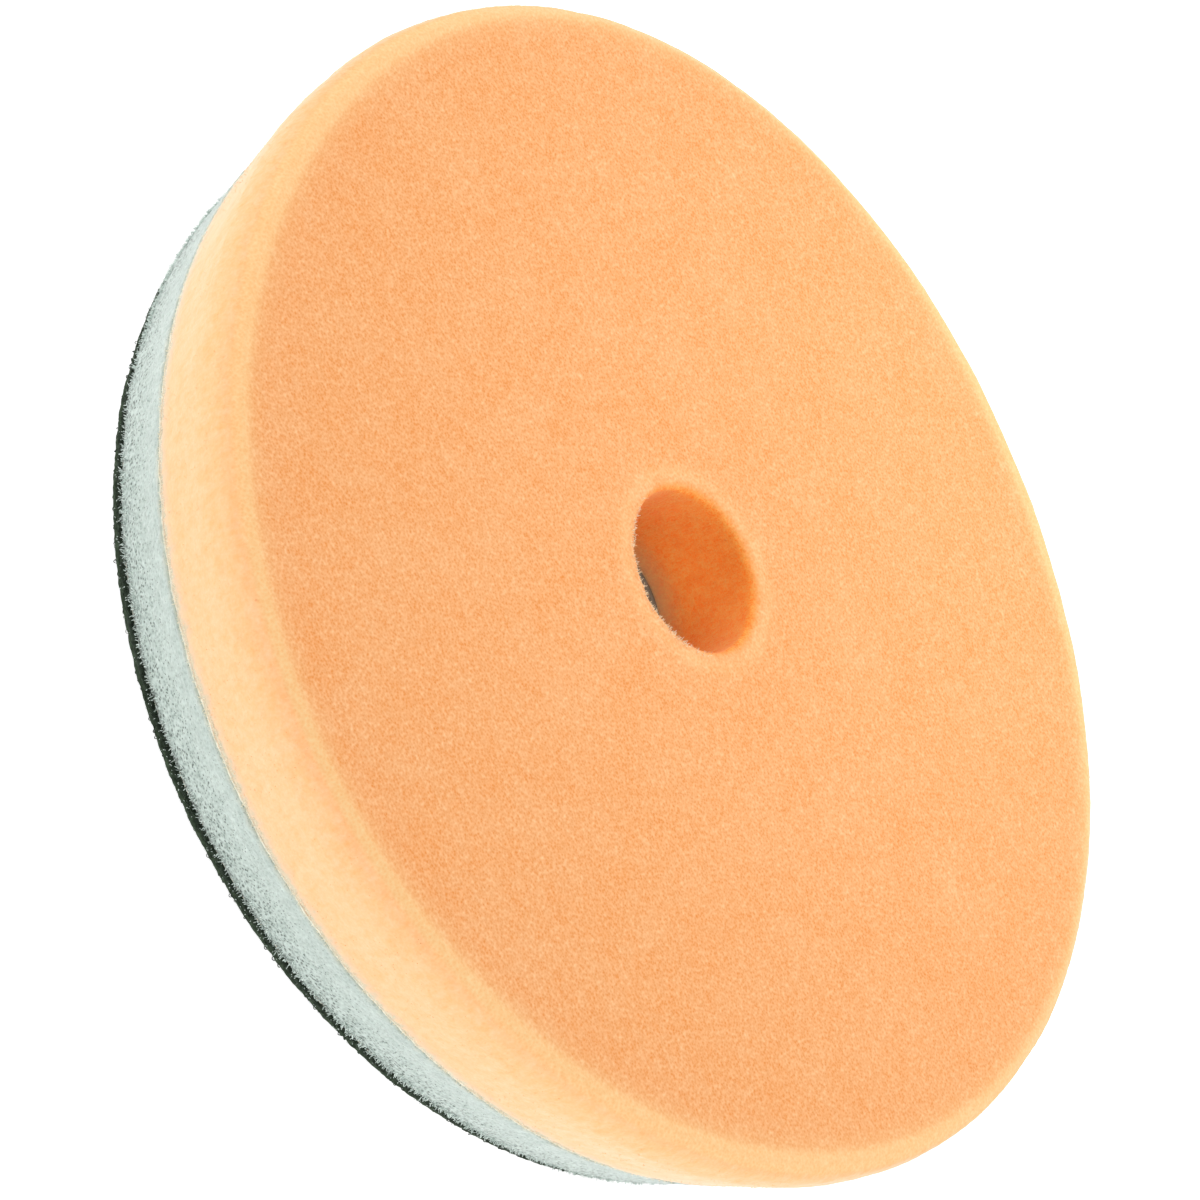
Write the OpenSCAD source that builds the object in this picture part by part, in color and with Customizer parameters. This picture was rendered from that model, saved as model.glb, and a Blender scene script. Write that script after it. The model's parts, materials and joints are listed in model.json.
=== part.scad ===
// Round composite polishing pad for a dual-action polisher.
// A foam working disc and a foam interface disc are glued together, backed
// with knitted loop fabric, and punched with one centre hole right through.
// Millimetres. +Z is the pad's axis and points out of the working face. The
// origin is on that axis, in the plane of the loop tips, where the hook plate
// of the machine takes hold.

/* [Working foam] */
// Largest diameter of the pad, at the bottom of the rounded rim
pad_d = 140; // [128:1:180]
// Thickness of the working foam, from the bond to the working face
face_foam_t = 14.9; // [8:0.2:30]
// How far in from the largest diameter the flat working face ends
rim_w = 1.6; // [1:0.1:8]
// Height of the rounded rim
rim_h = 2.7; // [0.8:0.1:6]

/* [Interface foam] */
// Thickness of the interface foam
interface_t = 9.5; // [4:0.2:20]

/* [Bonds] */
// Thickness of each film of adhesive
bond_t = 0.3; // [0.1:0.05:0.8]

/* [Loop fabric] */
// Diameter across the loop side, for a 125 mm plate
loop_d = 126.4; // [110:0.2:160]
// Thickness of the knitted ground of the loop fabric
ground_t = 0.6; // [0.3:0.1:1.2]
// Height of the loops above their ground
pile_t = 1.4; // [0.6:0.1:3]

/* [Centre hole] */
// Diameter of the hole through every layer
hole_d = 19.3; // [10:0.1:30]

/* [Hidden] */
$fn = 128;
rim_steps = 8;

// Heights of the joints between the layers, from the loop tips up
z_ground = pile_t;
z_loop_bond = z_ground + ground_t;
z_interface = z_loop_bond + bond_t;
z_face_bond = z_interface + interface_t;
z_face_foam = z_face_bond + bond_t;
z_top = z_face_foam + face_foam_t;
z_rim = z_top - rim_h;

pad_r = pad_d / 2;
loop_r = loop_d / 2;
hole_r = hole_d / 2;

// The whole stack is cut with one taper, from the loop side out to the rim
function side_r(z) = loop_r + (pad_r - loop_r) * z / z_rim;

// The rounded rim runs from the side up and in to the flat face
function rim_point(i) = let (a = 90 * i / rim_steps)
    [pad_r - rim_w + rim_w * cos(a), z_rim + rim_h * sin(a)];

// One layer of the stack: a ring with the hole inside and the taper outside
module layer(z0, z1) {
    rotate_extrude()
        polygon([[hole_r, z0], [side_r(z0), z0], [side_r(z1), z1], [hole_r, z1]]);
}

// Working foam: flat face, rounded rim, tapered side
module face_foam() {
    color([0.98, 0.70, 0.46])
        rotate_extrude()
            polygon(concat(
                [[hole_r, z_face_foam], [side_r(z_face_foam), z_face_foam]],
                [for (i = [0 : rim_steps]) rim_point(i)],
                [[hole_r, z_top]]));
}

// Film of adhesive between the two foams
module face_bond() {
    color([0.80, 0.78, 0.66]) layer(z_face_bond, z_face_foam);
}

// Interface foam, which lets the face follow a curved panel
module interface_foam() {
    color([0.80, 0.85, 0.81]) layer(z_interface, z_face_bond);
}

// Film of adhesive between the interface foam and the fabric
module loop_bond() {
    color([0.62, 0.64, 0.60]) layer(z_loop_bond, z_interface);
}

// Knitted ground of the loop fabric
module loop_ground() {
    color([0.15, 0.19, 0.16]) layer(z_ground, z_loop_bond);
}

// Brushed loops that the hook plate grips
module loop_pile() {
    color([0.20, 0.25, 0.21]) layer(0, z_ground);
}

face_foam();
face_bond();
interface_foam();
loop_bond();
loop_ground();
loop_pile();
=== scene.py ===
import json
import math

import bpy
import numpy as np
from mathutils import Matrix, Vector


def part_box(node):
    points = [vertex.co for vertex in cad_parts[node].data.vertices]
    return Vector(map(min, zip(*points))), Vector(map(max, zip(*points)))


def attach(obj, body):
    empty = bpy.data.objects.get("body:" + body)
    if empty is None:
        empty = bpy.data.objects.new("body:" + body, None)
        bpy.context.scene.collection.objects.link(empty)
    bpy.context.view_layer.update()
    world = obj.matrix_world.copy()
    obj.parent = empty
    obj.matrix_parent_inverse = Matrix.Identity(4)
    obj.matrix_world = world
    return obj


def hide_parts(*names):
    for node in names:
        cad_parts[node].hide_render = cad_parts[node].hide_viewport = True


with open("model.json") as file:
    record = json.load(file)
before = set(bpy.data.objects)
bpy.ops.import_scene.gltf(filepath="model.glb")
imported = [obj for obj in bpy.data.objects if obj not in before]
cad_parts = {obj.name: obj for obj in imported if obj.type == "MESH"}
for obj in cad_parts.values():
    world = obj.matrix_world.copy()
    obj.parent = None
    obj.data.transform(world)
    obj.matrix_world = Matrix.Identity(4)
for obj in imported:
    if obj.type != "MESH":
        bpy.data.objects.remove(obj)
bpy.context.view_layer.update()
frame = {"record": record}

MM = 0.001

# ---------------------------------------------------------------------------
# Places and sizes, all read from the CAD nodes (millimetres from here on)
# ---------------------------------------------------------------------------


def node_z(name):
    lo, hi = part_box(name)
    return lo.z * 1000, hi.z * 1000


def node_r(name):
    lo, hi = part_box(name)
    return (hi.x - lo.x) * 500


Z_FACE = node_z("face_foam")
Z_BOND1 = node_z("face_bond")
Z_INT = node_z("interface_foam")
Z_BOND2 = node_z("loop_bond")
Z_GROUND = node_z("loop_ground")
Z_PILE = node_z("loop_pile")
TOP = Z_FACE[1]
R_MAX = node_r("face_foam")
R_LOOP = node_r("loop_ground")
BORE = next(m for m in frame["record"]["mounts"] if m["name"] == "centre_bore")
R_HOLE = BORE["dims"]["r_mm"]

# The side's outline below the working face: depth under the face against radius
# as a share of the largest radius. Foam gives a little where the layers are glued.
OUTLINE = np.array(
    [
        (0.00, 0.9768),
        (0.60, 0.9936),
        (1.35, 0.9965),
        (2.70, 1.0000),
        (4.80, 0.9988),
        (7.20, 0.9904),
        (9.60, 0.9797),
        (12.00, 0.9697),
        (13.80, 0.9622),
        (15.05, 0.9545),
        (16.45, 0.9501),
        (19.20, 0.9369),
        (22.70, 0.9232),
        (26.80, 0.9036),
        (27.00, 0.9030),
    ]
)


def side_r(z):
    return np.interp(TOP - np.asarray(z, float), OUTLINE[:, 0], OUTLINE[:, 1]) * R_MAX


# ---------------------------------------------------------------------------
# Noise
# ---------------------------------------------------------------------------


def _hash(ix, iy, iz, seed):
    h = (
        ix.astype(np.uint32) * np.uint32(374761393)
        + iy.astype(np.uint32) * np.uint32(668265263)
        + iz.astype(np.uint32) * np.uint32(2147483647)
        + np.uint32(seed) * np.uint32(1274126177)
    )
    h = (h ^ (h >> np.uint32(13))) * np.uint32(1103515245)
    h = (h ^ (h >> np.uint32(15))) * np.uint32(2654435761)
    return h ^ (h >> np.uint32(16))


def noise3(p, seed=0):
    """Gradient noise of points in noise cells, about -1 to 1."""
    p = np.asarray(p, float) + 1000.0
    i = np.floor(p).astype(np.int64)
    f = p - i
    u = f * f * f * (f * (f * 6 - 15) + 10)
    out = np.zeros(len(p))
    for dx in (0, 1):
        for dy in (0, 1):
            for dz in (0, 1):
                h = _hash(i[:, 0] + dx, i[:, 1] + dy, i[:, 2] + dz, seed)
                a = (h & np.uint32(1023)) / 1023.0 * 2 * np.pi
                c = ((h >> np.uint32(10)) & np.uint32(1023)) / 1023.0 * 2 - 1
                s = np.sqrt(np.maximum(0, 1 - c * c))
                g = np.stack([s * np.cos(a), s * np.sin(a), c], 1)
                d = f - np.array([dx, dy, dz])
                w = (
                    (u[:, 0] if dx else 1 - u[:, 0])
                    * (u[:, 1] if dy else 1 - u[:, 1])
                    * (u[:, 2] if dz else 1 - u[:, 2])
                )
                out += w * (g * d).sum(1)
    return out * 1.6


def fbm(p, scale, octaves=2, seed=0, gain=0.5):
    out, amp, tot = np.zeros(len(p)), 1.0, 0.0
    for o in range(octaves):
        out += amp * noise3(np.asarray(p) * scale * 2.0**o, seed + 17 * o)
        tot += amp
        amp *= gain
    return out / tot


def smooth(a, b, x):
    t = np.clip((np.asarray(x, float) - a) / (b - a), 0, 1)
    return t * t * (3 - 2 * t)


# The pad is cut from soft foam, so it is a little off a true circle, more at the face
def out_of_round(phi, z):
    w = np.clip((np.asarray(z) - Z_PILE[0]) / (TOP - Z_PILE[0]), 0, 1)
    c3 = -0.0077 * w - 0.0030 * (1 - w)
    s3 = 0.0011 * w + 0.0018 * (1 - w)
    c4 = -0.0011 * w
    return (
        1.0
        + c3 * np.cos(3 * phi)
        + s3 * np.sin(3 * phi)
        + c4 * np.cos(4 * phi)
        + 0.0011 * w * np.sin(2 * phi)
    )


HOLE_SHIFT = np.array([-0.72, 0.22])  # mm: the hole is punched a little off centre

# ---------------------------------------------------------------------------
# Mesh building
# ---------------------------------------------------------------------------


def mesh_object(name, verts_mm, faces, material=None, smooth_shade=True, attrs=None):
    me = bpy.data.meshes.new(name)
    v = np.asarray(verts_mm, float) * MM
    if isinstance(faces, np.ndarray):
        k = faces.shape[1]
        me.vertices.add(len(v))
        me.vertices.foreach_set("co", v.astype(np.float32).ravel())
        me.loops.add(faces.size)
        me.loops.foreach_set("vertex_index", faces.astype(np.int32).ravel())
        me.polygons.add(len(faces))
        me.polygons.foreach_set("loop_start", np.arange(0, faces.size, k, dtype=np.int32))
        me.update(calc_edges=True)
    else:
        me.from_pydata([tuple(x) for x in v], [], [tuple(int(i) for i in f) for f in faces])
    me.validate()
    me.polygons.foreach_set("use_smooth", np.full(len(me.polygons), smooth_shade))
    for key, values in (attrs or {}).items():
        a = me.attributes.new(key, "FLOAT", "POINT")
        a.data.foreach_set("value", np.asarray(values, np.float32))
    me.update()
    ob = bpy.data.objects.new(name, me)
    bpy.context.scene.collection.objects.link(ob)
    if material:
        me.materials.append(material)
    return ob


def stitch(start_a, na, off_a, start_b, nb, off_b):
    """Triangles between two closed rings with na and nb points."""
    ang_a = (off_a + np.arange(na + 1)) / na
    ang_b = (off_b + np.arange(nb + 1)) / nb
    ev_ang = np.concatenate([ang_a[1:], ang_b[1:]])
    ev_is_a = np.concatenate([np.ones(na, bool), np.zeros(nb, bool)])
    order = np.argsort(ev_ang, kind="stable")
    is_a = ev_is_a[order]
    ca = np.concatenate([[0], np.cumsum(is_a)])[:-1]
    cb = np.concatenate([[0], np.cumsum(~is_a)])[:-1]
    a0, b0 = start_a + ca % na, start_b + cb % nb
    a1, b1 = start_a + (ca + 1) % na, start_b + (cb + 1) % nb
    return np.where(
        is_a[:, None], np.stack([a0, a1, b0], 1), np.stack([a0, b1, b0], 1)
    )


def resample(points, spacing):
    """Points along a polyline; spacing holds the target step at each given point."""
    points, spacing = np.asarray(points, float), np.asarray(spacing, float)
    out, sp = [points[0]], [spacing[0]]
    for a, b, sa, sb in zip(points[:-1], points[1:], spacing[:-1], spacing[1:]):
        length = np.linalg.norm(b - a)
        n = max(1, int(round(length / ((sa + sb) / 2))))
        for t in np.arange(1, n + 1) / n:
            out.append(a + (b - a) * t)
            sp.append(sa + (sb - sa) * t)
    return np.array(out), np.array(sp)


def revolve(loop_points, loop_spacing, seed, jitter=0.18, min_n=24):
    """A closed body of revolution from a closed loop of (radius, z, zone) points, with nearly even triangles. Returns
    vertices before out-of-round, triangles and zone."""
    rng = np.random.default_rng(seed)
    pts, sp = resample(loop_points, loop_spacing)
    pts, sp = pts[:-1], sp[:-1]  # the last point closes the loop
    verts, starts, counts, offs, zone = [], [], [], [], []
    start = 0
    for (r, z, k), s in zip(pts, sp):
        n = max(min_n, int(round(2 * math.pi * r / s)))
        off = rng.random() * 0.999
        ph = (off + np.arange(n)) / n * 2 * np.pi
        ph = ph + (rng.random(n) - 0.5) * jitter * 2 * np.pi / n
        verts.append(np.stack([r * np.cos(ph), r * np.sin(ph), np.full(n, z)], 1))
        zone.append(np.full(n, k))
        starts.append(start)
        counts.append(n)
        offs.append(off)
        start += n
    tris = []
    m = len(pts)
    for i in range(m):
        j = (i + 1) % m
        tris.append(stitch(starts[i], counts[i], offs[i], starts[j], counts[j], offs[j]))
    v, f = np.concatenate(verts), np.concatenate(tris)
    a, b, c = v[f[:, 0]], v[f[:, 1]], v[f[:, 2]]
    if np.einsum("ij,ij->i", a, np.cross(b, c)).sum() < 0:
        f = f[:, ::-1].copy()
    return v, f, np.concatenate(zone)


def vertex_normals(v, f):
    n = np.zeros_like(v)
    fn = np.cross(v[f[:, 1]] - v[f[:, 0]], v[f[:, 2]] - v[f[:, 0]])
    for k in range(3):
        np.add.at(n, f[:, k], fn)
    return n / np.maximum(np.linalg.norm(n, axis=1, keepdims=True), 1e-12)


def squeeze_round(v, amount=1.0):
    """Moves points outward or inward with the pad's small out-of-round shape."""
    r = np.hypot(v[:, 0], v[:, 1])
    # phi runs from the far side of the pad, +Y, towards -X
    phi = np.arctan2(-v[:, 0], v[:, 1])
    k = out_of_round(phi, v[:, 2])
    w = smooth(R_HOLE * 1.6, R_HOLE * 4.5, r) * amount
    s = 1 + (k - 1) * w
    out = v.copy()
    out[:, 0] *= s
    out[:, 1] *= s
    return out


def off_centre(v):
    """Shifts the hole by its small offset, fading out before the rim."""
    out = v.copy()
    r = np.hypot(v[:, 0], v[:, 1])
    w = smooth(45.0, R_HOLE + 3.0, r)
    out[:, :2] += HOLE_SHIFT * w[:, None]
    return out


def tubes(name, roots, dirs, lengths, radii, bend, material, segs=2, sides=3, seed=1, attrs=None):
    """Many short tapered fibres as one mesh of closed tubes."""
    rng = np.random.default_rng(seed)
    n = len(roots)
    d = dirs / np.linalg.norm(dirs, axis=1, keepdims=True)
    ref = rng.normal(size=(n, 3))
    u = np.cross(d, ref)
    u /= np.linalg.norm(u, axis=1, keepdims=True)
    w = np.cross(d, u)
    ring = []
    ang = np.arange(sides) / sides * 2 * np.pi
    for k in range(segs + 1):
        t = k / segs
        centre = roots + d * (lengths * t)[:, None] + u * (bend * lengths * t * t)[:, None]
        rad = radii * (1 - 0.55 * t)
        ring.append(
            centre[:, None, :]
            + rad[:, None, None]
            * (np.cos(ang)[None, :, None] * u[:, None, :] + np.sin(ang)[None, :, None] * w[:, None, :])
        )
    v = np.stack(ring, 1)  # n, segs+1, sides, 3
    per = (segs + 1) * sides
    v = v.reshape(n * per, 3)
    local = []
    for k in range(segs):
        for s in range(sides):
            a, b = k * sides + s, k * sides + (s + 1) % sides
            c, e = a + sides, b + sides
            local += [(a, b, e), (a, e, c)]
    for s in range(1, sides - 1):
        local.append((0, s + 1, s))
        top = segs * sides
        local.append((top, top + s, top + s + 1))
    local = np.array(local)
    f = (np.arange(n)[:, None, None] * per + local[None]).reshape(-1, 3)
    at = {k: np.repeat(x, per) for k, x in (attrs or {}).items()}
    return mesh_object(name, v, f, material, attrs=at)


def loops(name, centres, across, up, width, height, radius, material, segs=6, sides=3, lean=None, attrs=None):
    """Many small standing loops of yarn as one mesh: an arch from foot to foot, its feet sunk in the ground."""
    n = len(centres)
    a = across / np.linalg.norm(across, axis=1, keepdims=True)
    b = up / np.linalg.norm(up, axis=1, keepdims=True)
    c = np.cross(a, b)
    c /= np.linalg.norm(c, axis=1, keepdims=True)
    b = np.cross(c, a)
    lean = np.zeros(n) if lean is None else lean
    ring = []
    ang = np.arange(sides) / sides * 2 * np.pi
    for k in range(segs + 1):
        t = k / segs * np.pi
        x = -np.cos(t) * (0.62 + 0.38 * np.sin(t))
        y = np.sin(t) ** 0.8 if 0 < k < segs else -0.12
        centre = (
            centres
            + a * (width / 2 * x)[:, None]
            + b * (height * y)[:, None]
            + c * (lean * height * max(y, 0) ** 1.5)[:, None]
        )
        tx, ty = np.sin(t), np.cos(t)
        tan = a * (width / 2 * tx)[:, None] + b * (height * ty)[:, None]
        tan /= np.maximum(np.linalg.norm(tan, axis=1, keepdims=True), 1e-9)
        nrm = np.cross(tan, c)
        ring.append(
            centre[:, None, :]
            + radius[:, None, None]
            * (np.cos(ang)[None, :, None] * nrm[:, None, :] + np.sin(ang)[None, :, None] * c[:, None, :])
        )
    v = np.stack(ring, 1)
    per = (segs + 1) * sides
    v = v.reshape(n * per, 3)
    local = []
    for k in range(segs):
        for s in range(sides):
            p, q = k * sides + s, k * sides + (s + 1) % sides
            local += [(p, p + sides, q + sides), (p, q + sides, q)]
    for s in range(1, sides - 1):
        local.append((0, s, s + 1))
        top = segs * sides
        local.append((top, top + s + 1, top + s))
    local = np.array(local)
    f = (np.arange(n)[:, None, None] * per + local[None]).reshape(-1, 3)
    at = {k: np.repeat(x, per) for k, x in (attrs or {}).items()}
    return mesh_object(name, v, f, material, attrs=at)


# ---------------------------------------------------------------------------
# Materials
# ---------------------------------------------------------------------------


class Tree:
    """A short way to write node trees."""

    def __init__(self, name):
        self.mat = bpy.data.materials.new(name)
        self.mat.use_nodes = True
        self.nt = self.mat.node_tree
        self.nt.nodes.clear()
        self.out = self.nt.nodes.new("ShaderNodeOutputMaterial")
        self.bsdf = self.nt.nodes.new("ShaderNodeBsdfPrincipled")
        self.nt.links.new(self.bsdf.outputs[0], self.out.inputs[0])
        co = self.nt.nodes.new("ShaderNodeTexCoord")
        mp = self.nt.nodes.new("ShaderNodeMapping")
        mp.inputs["Scale"].default_value = (1000, 1000, 1000)
        self.nt.links.new(co.outputs["Object"], mp.inputs["Vector"])
        self.mm = mp.outputs[0]  # object coordinates in millimetres

    def link(self, a, b):
        self.nt.links.new(a, b)

    def set(self, node, key, value):
        if hasattr(value, "is_linked") or isinstance(value, bpy.types.NodeSocket):
            self.link(value, node.inputs[key])
        else:
            node.inputs[key].default_value = value

    def voronoi(self, scale, feature="F1", randomness=1.0, vector=None, out="Distance"):
        n = self.nt.nodes.new("ShaderNodeTexVoronoi")
        n.feature = feature
        n.inputs["Scale"].default_value = scale
        n.inputs["Randomness"].default_value = randomness
        self.link(vector or self.mm, n.inputs["Vector"])
        return n.outputs[out]

    def noise(self, scale, detail=2.0, roughness=0.5, vector=None, distortion=0.0, out="Fac"):
        n = self.nt.nodes.new("ShaderNodeTexNoise")
        n.inputs["Scale"].default_value = scale
        n.inputs["Detail"].default_value = detail
        n.inputs["Roughness"].default_value = roughness
        n.inputs["Distortion"].default_value = distortion
        self.link(vector or self.mm, n.inputs["Vector"])
        return n.outputs[out]

    def math(self, op, a, b=None, c=None, clamp=False):
        n = self.nt.nodes.new("ShaderNodeMath")
        n.operation = op
        n.use_clamp = clamp
        for i, x in enumerate((a, b, c)):
            if x is not None:
                self.set(n, i, x)
        return n.outputs[0]

    def span(self, x, a, b, c=0.0, d=1.0, kind="SMOOTHSTEP"):
        n = self.nt.nodes.new("ShaderNodeMapRange")
        n.interpolation_type = kind
        self.link(x, n.inputs["Value"])
        for key, v in (("From Min", a), ("From Max", b), ("To Min", c), ("To Max", d)):
            self.set(n, key, v)
        return n.outputs["Result"]

    def mix(self, fac, a, b, mode="MIX"):
        n = self.nt.nodes.new("ShaderNodeMix")
        n.data_type = "RGBA"
        n.blend_type = mode
        self.set(n, 0, fac)
        for key, v in ((6, a), (7, b)):
            if isinstance(v, (tuple, list)):
                v = (*v, 1.0) if len(v) == 3 else v
            self.set(n, key, v)
        return n.outputs[2]

    def attr(self, name):
        n = self.nt.nodes.new("ShaderNodeAttribute")
        n.attribute_name = name
        return n.outputs["Fac"]

    def xyz(self):
        n = self.nt.nodes.new("ShaderNodeSeparateXYZ")
        self.link(self.mm, n.inputs[0])
        return n.outputs

    def bump(self, height, strength, distance, normal=None):
        n = self.nt.nodes.new("ShaderNodeBump")
        n.inputs["Strength"].default_value = strength
        n.inputs["Distance"].default_value = distance
        self.link(height, n.inputs["Height"])
        if normal:
            self.link(normal, n.inputs["Normal"])
        return n.outputs[0]

    def finish(self, color, roughness=None, normal=None, **constants):
        self.set(self.bsdf, "Base Color", color)
        if roughness is not None:
            self.set(self.bsdf, "Roughness", roughness)
        if normal is not None:
            self.link(normal, self.bsdf.inputs["Normal"])
        for k, v in constants.items():
            self.bsdf.inputs[k.replace("_", " ")].default_value = v
        return self.mat


def make_face_foam(name, sheen, sheen_rough):
    t = Tree(name)
    side, ridge, bore = t.attr("side"), t.attr("ridge"), t.attr("bore")
    grain = t.noise(2.8, 2.0, 0.60)
    cells = t.voronoi(2.9)
    soft = t.noise(0.8, 2.0, 0.5)
    broad = t.noise(0.12, 2.0, 0.5)
    # wire-cut marks run across the thickness on the side and in the hole
    stretch = t.nt.nodes.new("ShaderNodeMapping")
    stretch.inputs["Scale"].default_value = (1.0, 1.0, 0.28)
    t.link(t.mm, stretch.inputs["Vector"])
    streak = t.noise(1.15, 2.0, 0.5, vector=stretch.outputs[0])
    streak2 = t.noise(3.2, 2.0, 0.6, vector=stretch.outputs[0])
    dust = t.noise(5.2, 2.0, 0.65)

    def centred(x, k, base, mid=0.5):
        return t.math("MULTIPLY_ADD", t.math("SUBTRACT", x, mid), k, base)

    def held(x):
        return t.math("MINIMUM", t.math("MAXIMUM", x, 0.0), 1.0)

    lum = centred(grain, 0.84, 0.47)
    lum = centred(cells, 0.60, lum, 0.45)
    lum = centred(soft, 0.42, lum)
    face_l = held(centred(broad, 0.25, lum))
    low = centred(streak, 0.70, 0.50)
    low = centred(grain, 0.70, low)
    side_l = held(centred(soft, 0.8, low))
    wall = centred(streak2, 0.9, 0.40)
    wall = centred(soft, 0.6, wall)
    bore_l = held(centred(dust, 1.9, wall))

    x, y, z = t.xyz()
    face_col = t.mix(face_l, (0.910, 0.294, 0.052), (0.972, 0.570, 0.292))
    side_top = t.mix(side_l, (0.98, 0.430, 0.155), (1.00, 0.580, 0.335))
    side_low = t.mix(side_l, (0.94, 0.470, 0.205), (0.99, 0.605, 0.375))
    side_col = t.mix(t.span(z, TOP - 0.8, TOP - 7.5), side_top, side_low)
    # dust and glue dull the last millimetre above the joint; the y factor keeps this to the -Y side and fades it where
    # the side catches more light, which is painted light
    foot = t.math("MULTIPLY_ADD", t.math("SUBTRACT", streak, 0.5), 2.6, z)
    foot = t.math("MULTIPLY_ADD", t.math("SUBTRACT", soft, 0.5), 1.6, foot)
    foot = t.span(foot, Z_FACE[0] + 2.7, Z_FACE[0] - 0.2, 0.0, 0.92)
    foot = t.math("MULTIPLY", foot, t.span(y, -12.0, -48.0, 0.25, 1.0))
    side_col = t.mix(foot, side_col, (0.570, 0.560, 0.440))
    col = t.mix(side, face_col, side_col)
    # painted highlight: a lighter, yellower colour along the face's rounded rim and in a ring round the hole's mouth
    rim_highlight_col = t.mix(face_l, (1.0, 0.530, 0.205), (1.0, 0.680, 0.350))
    col = t.mix(ridge, col, rim_highlight_col)
    # painted light: the hole's wall is a brighter, more saturated orange than the face, standing in for the bounce
    # light inside the hole
    bore_painted_light_col = t.mix(bore_l, (1.0, 0.240, 0.018), (1.0, 0.540, 0.130))
    # painted shade: from 10 mm down the hole's wall is darkened towards brown
    painted_deep_shade = t.span(z, TOP - 10.0, TOP - 16.0, 0.0, 0.72)
    bore_painted_light_col = t.mix(painted_deep_shade, bore_painted_light_col, (0.480, 0.350, 0.190))
    col = t.mix(bore, col, bore_painted_light_col)
    # light and dark of the single cells
    value = centred(grain, 0.12, 1.0)
    value = centred(cells, 0.09, value, 0.45)
    grey = t.nt.nodes.new("ShaderNodeCombineColor")
    for k in range(3):
        t.link(value, grey.inputs[k])
    calm = t.math("MULTIPLY_ADD", side, -0.45, 1.0)
    calm = t.math("MULTIPLY", calm, t.math("MULTIPLY_ADD", ridge, -0.55, 1.0))
    col = t.mix(calm, col, grey.outputs[0], "MULTIPLY")
    # a few single dark pores
    rare = t.voronoi(0.16)
    col = t.mix(t.math("MULTIPLY", t.math("LESS_THAN", rare, 0.022), 0.35), col, (0.75, 0.16, 0.03))
    height = t.math("MULTIPLY_ADD", cells, 0.8, grain)
    height = t.math("MULTIPLY", height, calm)
    nrm = t.bump(height, 0.40, 0.00013)
    rough = t.span(grain, 0.2, 0.8, 0.80, 0.98)
    return t.finish(
        col,
        rough,
        nrm,
        Sheen_Weight=sheen,
        Sheen_Roughness=sheen_rough,
        Specular_IOR_Level=0.08,
    )


def make_interface_foam():
    t = Tree("interface_foam_pale")
    grain = t.noise(2.7, 3.0, 0.66)
    cells = t.voronoi(2.4)
    dots = t.voronoi(1.9)
    soft = t.noise(0.55, 2.0, 0.5)
    edge, speck = t.attr("edge"), t.attr("speck")

    def centred(x, k, base, mid=0.5):
        return t.math("MULTIPLY_ADD", t.math("SUBTRACT", x, mid), k, base)

    rough_k = t.math("MULTIPLY_ADD", speck, 0.55, 0.45)
    lum = t.math("MULTIPLY_ADD", t.math("SUBTRACT", grain, 0.5), t.math("MULTIPLY", rough_k, 1.6), 0.52)
    lum = t.math("MULTIPLY_ADD", t.math("SUBTRACT", cells, 0.45), t.math("MULTIPLY", rough_k, 0.85), lum)
    lum = centred(soft, 0.60, lum)
    lum = t.math("MINIMUM", t.math("MAXIMUM", lum, 0.0), 1.0)
    col = t.mix(lum, (0.290, 0.361, 0.330), (0.608, 0.700, 0.656))
    col = t.mix(t.math("MULTIPLY", speck, 0.22), col, (0.280, 0.352, 0.322))
    # painted shade: inside the hole the pale foam is darkened to a brown, tinted by the orange bounce light
    col = t.mix(t.math("MULTIPLY", t.attr("bore"), 0.82), col, (0.190, 0.165, 0.115))
    # the joint's glue tints the first half millimetre; the y factor keeps this to the -Y side and fades it where the
    # side catches more light, which is painted light
    x, y, z = t.xyz()
    top = t.math("MULTIPLY_ADD", t.math("SUBTRACT", soft, 0.5), 1.6, z)
    glue_tint_and_painted_light = t.math("MULTIPLY", t.span(top, Z_INT[1] - 0.9, Z_INT[1] + 0.2, 0.0, 0.42), t.span(y, -12.0, -48.0, 0.3, 1.0))
    col = t.mix(glue_tint_and_painted_light, col, (0.56, 0.54, 0.42))
    # open cells look dark, and there are more of them towards the fabric
    pit = t.math("MULTIPLY_ADD", speck, 0.22, 0.12)
    hole = t.math("LESS_THAN", dots, pit)
    fine = t.math("MULTIPLY_ADD", speck, 0.26, 0.16)
    hole2 = t.math("LESS_THAN", cells, fine)
    col = t.mix(t.math("MULTIPLY", hole2, 0.40), col, (0.150, 0.195, 0.170))
    col = t.mix(t.math("MULTIPLY", hole, 0.75), col, (0.065, 0.090, 0.075))
    shade = t.math("MULTIPLY", t.math("POWER", edge, 6.0), 0.95)
    col = t.mix(shade, col, (0.040, 0.058, 0.045))
    height = t.math("MULTIPLY_ADD", cells, 0.9, grain)
    height = t.math("MULTIPLY_ADD", hole, -0.6, height)
    nrm = t.bump(height, 0.5, 0.00016)
    return t.finish(
        col,
        t.span(grain, 0.2, 0.8, 0.80, 0.98),
        nrm,
        Sheen_Weight=0.40,
        Sheen_Roughness=0.45,
        Specular_IOR_Level=0.12,
    )


def make_fibre(name, dark, light, sheen=0.3, rough=0.6, spec=0.2):
    t = Tree(name)
    tone = t.attr("tone")
    g = t.noise(6.0, 2.0, 0.5)
    lum = t.math("ADD", t.span(g, 0.3, 0.7, -0.12, 0.12, "LINEAR"), tone, clamp=True)
    col = t.mix(lum, dark, light)
    nrm = t.bump(g, 0.3, 0.00004)
    return t.finish(
        col,
        t.span(g, 0.3, 0.7, rough - 0.08, rough + 0.08),
        nrm,
        Sheen_Weight=sheen,
        Sheen_Roughness=0.4,
        Specular_IOR_Level=spec,
    )


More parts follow.
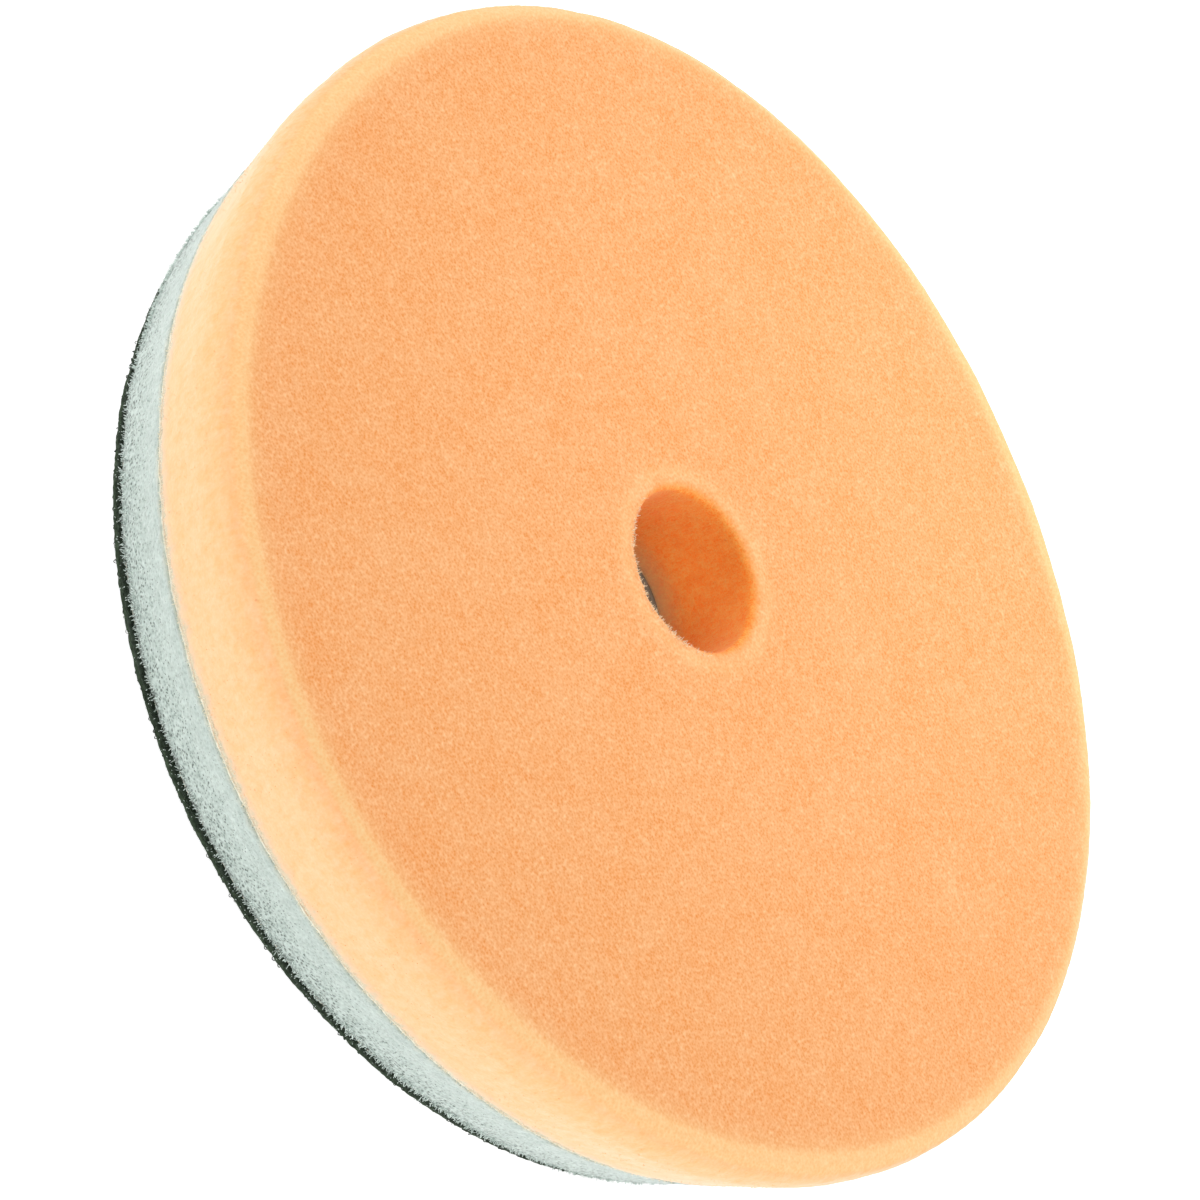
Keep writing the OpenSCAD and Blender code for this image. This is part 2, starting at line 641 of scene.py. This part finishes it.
def make_bond():
    t = Tree("bond_film")
    g = t.noise(1.6, 3.0, 0.6)
    f = t.noise(6.0, 2.0, 0.5)
    col = t.mix(t.span(g, 0.35, 0.65), (0.66, 0.67, 0.55), (0.90, 0.91, 0.79))
    # painted shade: inside the hole the film is darkened to a dark brown
    x, y, z = t.xyz()
    painted_hole_shade = t.math("LESS_THAN", t.math("MULTIPLY_ADD", x, x, t.math("MULTIPLY", y, y)), 625.0)
    col = t.mix(t.math("MULTIPLY", painted_hole_shade, 0.85), col, (0.16, 0.12, 0.07))
    nrm = t.bump(t.math("ADD", g, f), 0.4, 0.0001)
    return t.finish(col, t.span(f, 0.3, 0.7, 0.48, 0.70), nrm, Specular_IOR_Level=0.3)


def make_ground():
    t = Tree("loop_ground_knit")
    x, y, z = t.xyz()
    wale = t.math("SINE", t.math("MULTIPLY", x, 2 * math.pi / 0.9))
    course = t.math("SINE", t.math("MULTIPLY_ADD", y, 2 * math.pi / 0.7, wale))
    g = t.noise(5.0, 2.0, 0.6)
    h = t.math("MULTIPLY_ADD", course, 0.3, t.math("MULTIPLY", wale, 0.5))
    lum = t.math("MULTIPLY_ADD", t.span(h, -0.8, 0.8), 0.6, t.math("MULTIPLY", g, 0.4), clamp=True)
    col = t.mix(lum, (0.010, 0.016, 0.010), (0.040, 0.058, 0.040))
    nrm = t.bump(t.math("ADD", h, g), 0.6, 0.00012)
    return t.finish(col, t.span(g, 0.3, 0.7, 0.65, 0.9), nrm, Specular_IOR_Level=0.12)


def make_pile_bed():
    t = Tree("loop_pile_bed")
    c = t.voronoi(1.9)
    g = t.noise(3.5, 3.0, 0.6)
    lum = t.math("MULTIPLY_ADD", t.span(c, 0.1, 0.7, 1.0, 0.0), 0.5, t.math("MULTIPLY", g, 0.5), clamp=True)
    col = t.mix(lum, (0.014, 0.024, 0.013), (0.074, 0.108, 0.068))
    nrm = t.bump(t.math("ADD", g, t.math("MULTIPLY", c, -1.0)), 0.7, 0.0002)
    return t.finish(col, t.span(g, 0.3, 0.7, 0.7, 0.92), nrm, Specular_IOR_Level=0.12)


MAT_FACE = make_face_foam("face_foam_orange", 0.37, 0.34)
MAT_SIDE = make_face_foam("face_foam_side", 0.48, 0.26)
MAT_BORE = make_face_foam("face_foam_bore", 0.15, 0.50)
MAT_INT = make_interface_foam()
MAT_BOND = make_bond()
MAT_GROUND = make_ground()
MAT_BED = make_pile_bed()
MAT_FIB_ORANGE = make_fibre("foam_fibre_orange", (0.98, 0.52, 0.20), (1.0, 0.68, 0.36), 0.0, 0.9, 0.05)
MAT_FIB_JOINT = make_fibre("foam_fibre_joint", (0.84, 0.79, 0.62), (0.98, 0.90, 0.70), 0.0, 0.9, 0.05)
MAT_FIB_LIP = make_fibre("foam_fibre_lip", (1.0, 0.66, 0.36), (1.0, 0.86, 0.62), 0.0, 0.95, 0.0)
MAT_FIB_PALE = make_fibre("foam_fibre_pale", (0.38, 0.46, 0.42), (0.80, 0.90, 0.85), 0.0, 0.9, 0.05)
MAT_YARN = make_fibre("loop_yarn", (0.012, 0.022, 0.011), (0.095, 0.140, 0.088), 0.0, 0.6, 0.2)


def own(piece, replaces=None):
    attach(piece, "root")
    if replaces:
        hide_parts(replaces)
    return piece


# ---------------------------------------------------------------------------
# The working foam: flat face, rounded rim, tapered side, cut hole
# ---------------------------------------------------------------------------

LIP = 0.9  # how far the hole's mouth is rounded, on average

fine, side_s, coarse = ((0.56, 0.48, 2.2))

loop, sp = [], []


def add(r, z, zone, s):
    loop.append((r, z, zone))
    sp.append(s)


# hole wall, from the bottom up: zone 2
add(R_HOLE + 0.10, Z_FACE[0], 2, 0.9)
add(R_HOLE, Z_FACE[0] + 0.5, 2, 0.6)
add(R_HOLE - 0.02, Z_FACE[0] + 6.0, 2, 0.6)
add(R_HOLE, TOP - LIP - 1.0, 2, 0.5)
for i in range(1, 7):
    a = i / 6 * math.pi / 2
    add(R_HOLE + LIP * (1 - math.cos(a)), TOP - LIP + LIP * math.sin(a), 2 - i / 6 * 2, 0.35)
# the face: zone 0
add(R_HOLE + LIP + 2.0, TOP, 0, fine * 0.85)
flat_r = OUTLINE[0, 1] * R_MAX
add(flat_r - 2.0, TOP, 0, fine)
add(flat_r - 0.7, TOP - 0.02, 0.0, 0.42)
# the rim and the side: zone 1
rim = np.linspace(0.0, 2.7, 10)
RS = np.array([0.9768, 0.9855, 0.9915, 0.9945, 0.9962, 0.9974, 0.9984, 0.9992, 0.9997, 1.0])
for d, k in zip(rim, RS):
    add(k * R_MAX, TOP - d - 0.02 * (d == 0), min(1.0, 0.2 + d / 1.2), 0.38 if d < 1.5 else side_s)
for d in (4.8, 7.2, 9.6, 12.0, 13.8):
    add(float(side_r(TOP - d)), TOP - d, 1, side_s)
zb = Z_FACE[0]
add(float(side_r(zb + 0.55)), zb + 0.55, 1, 0.42)
add(float(side_r(zb)) + 0.01, zb + 0.10, 1, 0.4)
add(float(side_r(zb)) - 0.06, zb, 1, 0.45)
# the underside, glued to the film
add(float(side_r(zb)) - 3.0, zb, 1, coarse)
add(R_HOLE + 3.0, zb, 1, coarse)
add(R_HOLE + 0.10, Z_FACE[0], 2, 0.9)

v, f, zone = revolve(loop, sp, seed=11)
# the mouth is rounded more on one side, where the punch dragged the foam
ang = np.arctan2(v[:, 1], v[:, 0])
r = np.hypot(v[:, 0], v[:, 1])
k = 1.20 + 0.30 * np.sin(ang)
x0 = np.maximum(r - R_HOLE, 0)
d0 = TOP - v[:, 2]
reach = 5.5
x1 = np.where(x0 < LIP, x0 * k, LIP * k + (x0 - LIP) * (reach - LIP * k) / (reach - LIP))
x1 = np.where(x0 > reach, x0, x1)
near_hole = r < R_HOLE + reach
d1 = np.where(d0 < LIP, d0 * k, LIP * k + (d0 - LIP) * (reach - LIP * k) / (reach - LIP))
d1 = np.where((d0 > reach) | (r > R_HOLE + LIP + 0.01), d0, d1)
rn = np.where(near_hole & (r > R_HOLE), R_HOLE + x1, r)
v[:, 0] *= rn / r
v[:, 1] *= rn / r
v[:, 2] = TOP - d1
v = off_centre(squeeze_round(v))
nrm = vertex_normals(v, f)
depth = TOP - v[:, 2]
inner = smooth(R_HOLE + 1.6, R_HOLE + 0.3, r)
under = (v[:, 2] < Z_FACE[0] + 0.02).astype(float)
side_a = np.where(r > 40, smooth(0.05, 0.9, depth) * (1 - under), 0)
ridge_r = flat_r * out_of_round(np.arctan2(-v[:, 0], v[:, 1]), v[:, 2])
rh = np.hypot(v[:, 0] - HOLE_SHIFT[0], v[:, 1] - HOLE_SHIFT[1])
bore_out = R_HOLE + 1.35 + 0.75 * np.sin(np.arctan2(v[:, 1], v[:, 0]))
bore_a = smooth(bore_out, R_HOLE + 0.05, rh) * smooth(-1.0, 1.6, depth + 0.9 * (R_HOLE + 1.0 - rh))
# painted highlight: the mask of the lighter band along the face's rounded rim and of a lighter ring round the hole's
# mouth
rim_highlight_a = (0.45 * smooth(-4.2, 0.0, r - ridge_r) ** 1.4 + 0.55 * smooth(-1.5, -0.2, r - ridge_r)) * smooth(1.15, 0.25, depth)
rim_highlight_a = rim_highlight_a + (0.34 + 0.25 * fbm(v, 0.35, 2, seed=8)) * np.exp(-(((rh - R_HOLE - 1.9) / 1.1) ** 2)) * (depth < 0.6)
lip_a = np.exp(-(((rh - R_HOLE - 0.3) / 0.6) ** 2)) * (depth < 1.2)
grain = fbm(v, 0.8, 2, seed=3)
swell = fbm(v, 0.09, 2, seed=5)
disp = grain * (0.035 + 0.03 * side_a + 0.04 * inner + 0.10 * lip_a) + swell * (0.10 + 0.10 * side_a)
disp *= 1 - under
disp *= 1 - 0.6 * smooth(0.5, 0.0, v[:, 2] - Z_FACE[0])
v = v + nrm * disp[:, None]
face = mesh_object(
    "face_foam_body", v, f, MAT_FACE, attrs={"side": side_a, "ridge": rim_highlight_a, "bore": bore_a}
)
# the hole's wall is nearly matt: its cells are cut square, with little fuzz on them; the side has more
face.data.materials.append(MAT_BORE)
face.data.materials.append(MAT_SIDE)
centre = v[f].mean(1)
bore_face = (np.hypot(centre[:, 0] - HOLE_SHIFT[0], centre[:, 1] - HOLE_SHIFT[1]) < R_HOLE + 1.5) & (centre[:, 2] > Z_FACE[0] + 0.05)
side_face = (np.hypot(centre[:, 0], centre[:, 1]) > 40) & (centre[:, 2] < TOP - 0.5)
face.data.polygons.foreach_set("material_index", (bore_face * 1 + side_face * 2).astype(np.int32))
own(face, "face_foam")

# ---------------------------------------------------------------------------
# The interface foam
# ---------------------------------------------------------------------------

loop, sp = [], []
zi0, zi1 = Z_INT
fs = 0.36
add(R_HOLE + 0.10, zi0, 0, 1.0)
add(R_HOLE + 0.04, zi0 + 0.6, 0, 0.6)
add(R_HOLE + 0.16, zi1 - 0.6, 0, 0.6)
add(R_HOLE + 0.24, zi1, 0, 0.8)
add(R_HOLE + 3.0, zi1, 0, coarse)
add(float(side_r(zi1)) - 3.0, zi1, 0, coarse)
add(float(side_r(zi1)) - 0.05, zi1, 0, 0.4)
add(float(side_r(zi1)) + 0.06, zi1 - 0.12, 0, fs)
add(float(side_r(zi1 - 0.8)) + 0.08, zi1 - 0.8, 0, fs)
for z in np.linspace(zi1 - 1.6, zi0 + 0.6, 8):
    add(float(side_r(z)) + 0.05, z, 0, fs)
add(float(side_r(zi0)) - 0.02, zi0 + 0.15, 0, fs)
add(float(side_r(zi0)) - 0.35, zi0, 0, 0.45)
add(float(side_r(zi0)) - 3.0, zi0, 0, coarse)
add(R_HOLE + 3.0, zi0, 0, coarse)
add(R_HOLE + 0.10, zi0, 0, 1.0)
v, f, zone = revolve(loop, sp, seed=12)
v = off_centre(squeeze_round(v))
nrm = vertex_normals(v, f)
r = np.hypot(v[:, 0], v[:, 1])
open_face = np.where((v[:, 2] < zi0 + 0.02) | (v[:, 2] > zi1 - 0.02), 0.0, 1.0)
grain = fbm(v, 1.25, 2, seed=21, gain=0.7)
swell = fbm(v, 0.10, 2, seed=22)
rag = fbm(v, 0.55, 2, seed=23)
low = smooth(2.2, 0.2, v[:, 2] - zi0)
disp = (grain * 0.20 + swell * 0.16 + rag * 0.18 * low) * open_face
v = v + nrm * disp[:, None]
edge_a = smooth(3.2, 0.0, v[:, 2] - zi0 + 0.5 * fbm(v, 0.9, 2, seed=24)) * (r > 40)
speck_a = smooth(8.5, 0.8, v[:, 2] - zi0) * (r > 40)
bore_i = (r < 25).astype(float)
inter = mesh_object("interface_foam_body", v, f, MAT_INT, attrs={"edge": edge_a, "speck": speck_a, "bore": bore_i})
own(inter, "interface_foam")

# ---------------------------------------------------------------------------
# The two films of adhesive
# ---------------------------------------------------------------------------


def film(name, node, z0, z1, seed, proud):
    loop.clear()
    sp.clear()
    ro = float(side_r((z0 + z1) / 2)) + proud
    add(R_HOLE + 0.25, z0, 0, 0.8)
    add(R_HOLE + 0.18, (z0 + z1) / 2, 0, 0.6)
    add(R_HOLE + 0.25, z1, 0, 0.8)
    add(R_HOLE + 3.0, z1, 0, coarse)
    add(ro - 3.0, z1, 0, coarse)
    add(ro - 0.12, z1, 0, 0.4)
    add(ro, (z0 + z1) / 2, 1, 0.4)
    add(ro - 0.12, z0, 0, 0.4)
    add(ro - 3.0, z0, 0, coarse)
    add(R_HOLE + 3.0, z0, 0, coarse)
    add(R_HOLE + 0.25, z0, 0, 0.8)
    v, f, zone = revolve(loop, sp, seed=seed)
    v = off_centre(squeeze_round(v))
    r = np.hypot(v[:, 0], v[:, 1])
    push = np.where(r > 40, smooth(ro - 0.6, ro - 0.1, r), 0)
    wave = fbm(v, 0.45, 3, seed=seed + 5) * 0.10 * push
    v[:, :2] *= (1 + wave / r)[:, None]
    v[:, 2] += fbm(v * np.array([1, 1, 0]), 0.55, 3, seed=91) * 0.22 * push
    return own(mesh_object(name, v, f, MAT_BOND), node)


film("face_bond_film", "face_bond", *Z_BOND1, seed=31, proud=0.08)
film("loop_bond_film", "loop_bond", *Z_BOND2, seed=32, proud=-0.30)

# ---------------------------------------------------------------------------
# The loop fabric: knitted ground, dense bed of pile, and the loops themselves
# ---------------------------------------------------------------------------

def fabric_trim(v):
    """The fabric's cut edge sits a little inside the foam on two sides."""
    out = v.copy()
    r = np.hypot(v[:, 0], v[:, 1])
    phi = np.arctan2(-v[:, 0], v[:, 1])
    back = 0.17 * (1 - np.abs(np.cos(phi - math.radians(158))) ** 4) - 0.08
    back = back + 0.32 * np.exp(-(((np.degrees(phi) - 106) / 17) ** 2))
    back = back * smooth(R_LOOP - 8.0, R_LOOP - 1.0, r)
    out[:, :2] *= (1 - back / np.maximum(r, 1e-6))[:, None]
    return out


zg0, zg1 = Z_GROUND
loop.clear()
sp.clear()
rg = float(side_r((zg0 + zg1) / 2))
gs = 0.9
add(R_HOLE + 0.05, zg0, 0, 0.6)
add(R_HOLE, (zg0 + zg1) / 2, 0, 0.6)
add(R_HOLE + 0.05, zg1, 0, 0.6)
add(R_HOLE + 3.0, zg1, 0, coarse)
add(rg - 3.0, zg1, 0, coarse)
add(rg - 0.05, zg1, 0, 0.45)
add(rg + 0.06, (zg0 + zg1) / 2, 0, 0.45)
add(rg - 0.05, zg0, 0, 0.45)
add(rg - 2.0, zg0, 0, gs)
add(R_HOLE + 2.0, zg0, 0, gs)
add(R_HOLE + 0.05, zg0, 0, 0.6)
v, f, zone = revolve(loop, sp, seed=41)
v = fabric_trim(off_centre(squeeze_round(v)))
r = np.hypot(v[:, 0], v[:, 1])
edge = smooth(rg - 0.6, rg - 0.1, r)
wave = (fbm(v, 0.12, 2, seed=42) * 0.22 + fbm(v, 0.7, 2, seed=43) * 0.12) * edge
v[:, :2] *= (1 + wave / r)[:, None]
ground = mesh_object("loop_ground_knit", v, f, MAT_GROUND)
own(ground, "loop_ground")

zp0, zp1 = Z_PILE
loop.clear()
sp.clear()
rp = float(side_r(zp1))
bs = 0.75
bed_z = 0.55
add(R_HOLE + 0.15, zp1, 0, 0.6)
add(R_HOLE + 3.0, zp1, 0, coarse)
add(rp - 3.0, zp1, 0, coarse)
add(rp - 0.02, zp1, 0, 0.5)
add(rp + 0.04, zp1 - 0.2, 0, 0.4)
add(rp + 0.02, 0.95, 0, 0.4)
add(rp - 0.14, 0.66, 0, 0.4)
add(rp - 0.60, 0.52, 0, 0.45)
add(rp - 2.0, bed_z - 0.05, 0, bs)
add(R_HOLE + 2.0, bed_z - 0.05, 0, bs)
add(R_HOLE + 0.5, bed_z, 0, 0.6)
add(R_HOLE + 0.15, bed_z + 0.2, 0, 0.6)
add(R_HOLE + 0.15, zp1, 0, 0.6)
v, f, zone = revolve(loop, sp, seed=51)
v = fabric_trim(off_centre(squeeze_round(v)))
nrm = vertex_normals(v, f)
r = np.hypot(v[:, 0], v[:, 1])
free = np.where(v[:, 2] > zp1 - 0.02, 0.0, 1.0)
disp = (fbm(v, 0.95, 2, seed=52, gain=0.8) * 0.16 + fbm(v, 0.10, 2, seed=42) * 0.20) * free
v = v + nrm * disp[:, None]
v[:, 2] = np.maximum(v[:, 2], 0.12)
bed = mesh_object("loop_pile_bed", v, f, MAT_BED)
own(bed, "loop_pile")

rng = np.random.default_rng(61)
# loops over the machine side, in slightly wandering rows
pitch = 1.56
xs = np.arange(-R_LOOP, R_LOOP, pitch)
gx, gy = np.meshgrid(xs, xs)
gx = gx + (np.arange(len(xs)) % 2)[:, None] * pitch / 2
p = np.stack([gx.ravel(), gy.ravel(), np.zeros(gx.size)], 1)
p[:, :2] += rng.normal(0, 0.22, (len(p), 2))
rr = np.hypot(p[:, 0], p[:, 1])
p = p[(rr < rp - 1.2) & (rr > R_HOLE + 0.9)]
n = len(p)
p[:, 2] = bed_z + 0.25
ang = rng.normal(0.6, 0.55, n)
across = np.stack([np.cos(ang), np.sin(ang), np.zeros(n)], 1)
up = np.stack([rng.normal(0, 0.25, n), rng.normal(0, 0.25, n), -np.ones(n)], 1)
height = rng.uniform(0.5, 0.70, n)
loops(
    "loop_pile_loops",
    p,
    across,
    up,
    rng.uniform(0.8, 1.25, n),
    height,
    rng.uniform(0.055, 0.085, n),
    MAT_YARN,
    lean=rng.normal(0, 0.5, n),
    attrs={"tone": rng.beta(1.6, 3.0, n)},
)
face_loops = bpy.data.objects["loop_pile_loops"]
own(face_loops, None)

# loops that lie round the cut edge
n = 5600
ph = rng.random(n) * 2 * np.pi
zz = rng.uniform(0.72, zg1 - 0.05, n)
pos_r = side_r(zz) - rng.uniform(0.14, 0.40, n)
p = np.stack([pos_r * np.cos(ph), pos_r * np.sin(ph), zz], 1)
p = fabric_trim(squeeze_round(p))
out = np.stack([np.cos(ph), np.sin(ph), rng.normal(-0.2, 0.4, n)], 1)
tangent = np.stack([-np.sin(ph), np.cos(ph), rng.normal(0, 0.8, n)], 1)
height = rng.uniform(0.16, 0.40, n)
edge_loops = loops(
    "loop_pile_edge",
    p,
    tangent,
    out,
    rng.uniform(0.35, 0.8, n),
    height,
    rng.uniform(0.04, 0.075, n),
    MAT_YARN,
    segs=5,
    lean=rng.normal(0, 0.6, n),
    attrs={"tone": rng.beta(1.2, 3.5, n)},
)
for ob in (face_loops, edge_loops):  # no yarn below the pad's own seating plane
    co = np.zeros(len(ob.data.vertices) * 3, np.float32)
    ob.data.vertices.foreach_get("co", co)
    co = co.reshape(-1, 3)
    co[:, 2] = np.maximum(co[:, 2], 0.00003)
    ob.data.vertices.foreach_set("co", co.ravel())
own(edge_loops, None)

# ---------------------------------------------------------------------------
# Torn cell walls: on the interface foam's cut edge, round the hole and the rim
# ---------------------------------------------------------------------------


def ring_fibres(name, n, z_lo, z_hi, skew, r_off, length, radius, material, seed, tone=(2, 2), droop=0.0, spread_=0.6, inward=False, trim=False, shaggy=False, torn=False, segs=2):
    rng = np.random.default_rng(seed)
    ph = rng.random(n) * 2 * np.pi
    if inward:  # only on the -Y side, set from the photograph: a full ring of them looked grey
        keep = rng.random(n) < smooth(-0.20, -0.75, np.sin(ph))
        ph = ph[keep]
        n = len(ph)
    if torn:  # denser on the -Y side, as in the photograph; the far side is a guess
        keep = rng.random(n) < 0.12 + 0.88 * smooth(-0.25, -0.80, np.sin(ph))
        ph = ph[keep]
        n = len(ph)
    if shaggy:  # density by direction set from the edge seen in the photograph; the far side is a guess
        keep = 1 - 0.5 * np.abs(np.sin(ph - math.radians(-8))) ** 4
        right = (np.degrees(ph) + 180) % 360 - 180
        keep = rng.random(n) < keep * (1 - 0.50 * np.exp(-(((right + 32) / 30) ** 2)))
        ph = ph[keep]
        n = len(ph)
    z = z_lo + (z_hi - z_lo) * rng.random(n) ** skew
    if inward:
        rad = R_HOLE + 0.85 - 0.85 * np.sqrt(np.clip((TOP - z) / 0.85, 0, 1)) + rng.uniform(-0.05, 0.35, n)
        sign = -1.0
    else:
        rad = side_r(z) + rng.uniform(*r_off, n)
        sign = 1.0
    p = np.stack([rad * np.cos(ph), rad * np.sin(ph), z], 1)
    p = off_centre(squeeze_round(p))
    if trim:
        p = fabric_trim(p)
    d = np.stack([np.cos(ph) * sign, np.sin(ph) * sign, np.full(n, droop)], 1) + rng.normal(0, spread_, (n, 3))
    lengths = rng.uniform(*length, n)
    if shaggy:
        lengths *= 1.15 - 0.15 * np.abs(np.sin(ph - math.radians(-8))) ** 4
    return own(
        tubes(name, p, d, lengths, rng.uniform(*radius, n), rng.normal(0, 0.5, n), material, segs=segs, seed=seed, attrs={"tone": rng.beta(*tone, n)}),
        None,
    )


q = 1.0
zi = Z_INT[0]
# pale tufts hang over the top of the fabric's edge, dark fuzz stands up between them
ring_fibres("interface_edge_tufts", int(9500 * q), zi + 0.15, zi + 1.7, 1.0, (-0.10, 0.06), (0.16, 0.46), (0.050, 0.100), MAT_FIB_PALE, 71, (3.0, 1.6), -0.9, 0.6, shaggy=True)
ring_fibres("interface_side_fibres", int(8500 * q), zi + 1.0, Z_INT[1] - 0.2, 1.6, (-0.12, 0.02), (0.08, 0.20), (0.025, 0.042), MAT_FIB_PALE, 72, (2.0, 1.8), 0.0, 0.8)
ring_fibres("loop_edge_fuzz", int(3800 * q), Z_GROUND[0], zi + 0.60, 1.0, (-0.14, 0.02), (0.20, 0.55), (0.04, 0.08), MAT_YARN, 75, (1.2, 4), 0.8, 0.6, trim=True)
ring_fibres("loop_edge_specks", int(900 * q), 0.5, Z_GROUND[1] + 0.2, 1.0, (0.04, 0.13), (0.07, 0.18), (0.045, 0.085), MAT_FIB_PALE, 76, (6, 1.0), -0.2, 0.9, trim=True)
# the working foam's own torn cells: along the joint, the rim and the hole
ring_fibres("joint_tufts", int(6500 * q), Z_FACE[0] - 0.30, Z_FACE[0] + 0.9, 1.0, (-0.08, 0.02), (0.12, 0.30), (0.03, 0.050), MAT_FIB_JOINT, 77, (2, 1.6), -0.7, 0.7, torn=True)
ring_fibres("rim_fibres", int(2500 * q), TOP - 2.4, TOP - 0.70, 1.0, (-0.10, 0.02), (0.10, 0.24), (0.020, 0.034), MAT_FIB_ORANGE, 73, (3, 2), 0.2, 0.8)
ring_fibres("side_fibres", int(5000 * q), Z_FACE[0] + 0.8, TOP - 2.2, 1.0, (-0.10, 0.02), (0.10, 0.24), (0.020, 0.034), MAT_FIB_ORANGE, 78, (3, 2), 0.0, 0.8, segs=1)
ring_fibres("hole_lip_fibres", int(1100 * q), TOP - 0.42, TOP - 0.03, 0.9, (0, 0), (0.16, 0.60), (0.030, 0.065), MAT_FIB_LIP, 74, (1.4, 1.0), 1.2, 0.7, inward=True)

# ---------------------------------------------------------------------------
# Floor, light and camera
# ---------------------------------------------------------------------------

# a round studio floor that sweeps up at its far edge, so there is no horizon line
floor_mesh = bpy.data.meshes.new("floor")
sweep = [(3.0, 0.0), (5.0, 0.0), (5.5, 0.03), (5.8, 0.12), (5.95, 0.30), (6.0, 0.62)]
m = 96
verts = [(0, 0, 0)] + [
    (r_ * math.cos(2 * math.pi * k / m), r_ * math.sin(2 * math.pi * k / m), z_) for r_, z_ in sweep for k in range(m)
]
faces = [(0, 1 + k, 1 + (k + 1) % m) for k in range(m)]
for j in range(len(sweep) - 1):
    for k in range(m):
        a, b = 1 + j * m + k, 1 + j * m + (k + 1) % m
        faces.append((a, a + m, b + m, b))
floor_mesh.from_pydata(verts, [], faces)
floor_mesh.polygons.foreach_set("use_smooth", np.ones(len(floor_mesh.polygons), bool))
floor = bpy.data.objects.new("floor", floor_mesh)
bpy.context.scene.collection.objects.link(floor)
fm = bpy.data.materials.new("floor_pale")
fm.use_nodes = True
fb = fm.node_tree.nodes["Principled BSDF"]
fb.inputs["Base Color"].default_value = (0.70, 0.70, 0.70, 1)
fb.inputs["Roughness"].default_value = 0.9
fb.inputs["Specular IOR Level"].default_value = 0.1
fb.inputs["Emission Color"].default_value = (1, 1, 1, 1)
fb.inputs["Emission Strength"].default_value = 0.86
floor_mesh.materials.append(fm)
floor.location.z = -0.00001

world = bpy.data.worlds.new("studio")
bpy.context.scene.world = world
world.use_nodes = True
wn = world.node_tree
wn.nodes.clear()
wo = wn.nodes.new("ShaderNodeOutputWorld")
bg = wn.nodes.new("ShaderNodeBackground")
wn.links.new(bg.outputs[0], wo.inputs[0])
tc = wn.nodes.new("ShaderNodeTexCoord")
sep = wn.nodes.new("ShaderNodeSeparateXYZ")
wn.links.new(tc.outputs["Generated"], sep.inputs[0])
# an even white room, brighter behind the pad
lobe = wn.nodes.new("ShaderNodeMath")
lobe.operation = "POWER"
lobe.use_clamp = True
top = wn.nodes.new("ShaderNodeMath")
top.operation = "MAXIMUM"
wn.links.new(sep.outputs[1], top.inputs[0])
top.inputs[1].default_value = 0.0
wn.links.new(top.outputs[0], lobe.inputs[0])
lobe.inputs[1].default_value = 3.0
ml = wn.nodes.new("ShaderNodeMath")
ml.operation = "MULTIPLY_ADD"
wn.links.new(lobe.outputs[0], ml.inputs[0])
ml.inputs[1].default_value = 0.6
ml.inputs[2].default_value = 0.29
wn.links.new(ml.outputs[0], bg.inputs["Strength"])
bg.inputs["Color"].default_value = (1, 1, 1, 1)


def softbox(name, azimuth, elevation, distance, size, unit):
    """A square soft light aimed at the pad. azimuth 0 is the camera's side; unit is how bright it
    makes a white card that faces it."""
    a, e = math.radians(azimuth), math.radians(elevation)
    data = bpy.data.lights.new(name, "AREA")
    data.shape = "SQUARE"
    data.size = size
    data.energy = unit * math.pi**2 * distance**2
    ob = bpy.data.objects.new(name, data)
    bpy.context.scene.collection.objects.link(ob)
    pos = Vector((math.sin(a) * math.cos(e), -math.cos(a) * math.cos(e), math.sin(e))) * distance
    ob.location = pos
    ob.rotation_euler = pos.to_track_quat("Z", "Y").to_euler()
    return ob


softbox("key_softbox", 0, 48, 1.3, 1.0, 0.42)
softbox("left_softbox", -100, 22, 1.3, 0.8, 0.38)
softbox("right_softbox", 100, 22, 1.3, 0.8, 0.34)
softbox("back_softbox", 180, 60, 0.20, 0.08, 0.26)

bpy.context.scene.view_settings.view_transform = "Standard"

# Camera: the pad's axis in camera axes (right, up, back), and where the face's centre is
N = Vector((0.7096, 0.3194, 0.6281)).normalized()
e = Vector((N.x, N.y, 0)).normalized()
Yc = (e - e.dot(N) * N).normalized()  # the far side of the pad is +Y
Xc = Yc.cross(N).normalized()
M = Matrix((Xc, Yc, N)).transposed()  # world to camera
c0 = Vector((0.15779, 0.03980, -7.95818)) * (R_MAX * MM)
cam_data = bpy.data.cameras.new("camera")
cam = bpy.data.objects.new("camera", cam_data)
bpy.context.scene.collection.objects.link(cam)
cam_data.sensor_width = 36.0
cam_data.lens = 4936.0 / 1200.0 * 36.0
cam_data.clip_start = 0.01
cam_data.clip_end = 50.0
R = M.transposed()
loc = Vector((0, 0, TOP * MM)) - R @ c0
cam.matrix_world = Matrix.Translation(loc) @ R.to_4x4()
bpy.context.scene.camera = cam
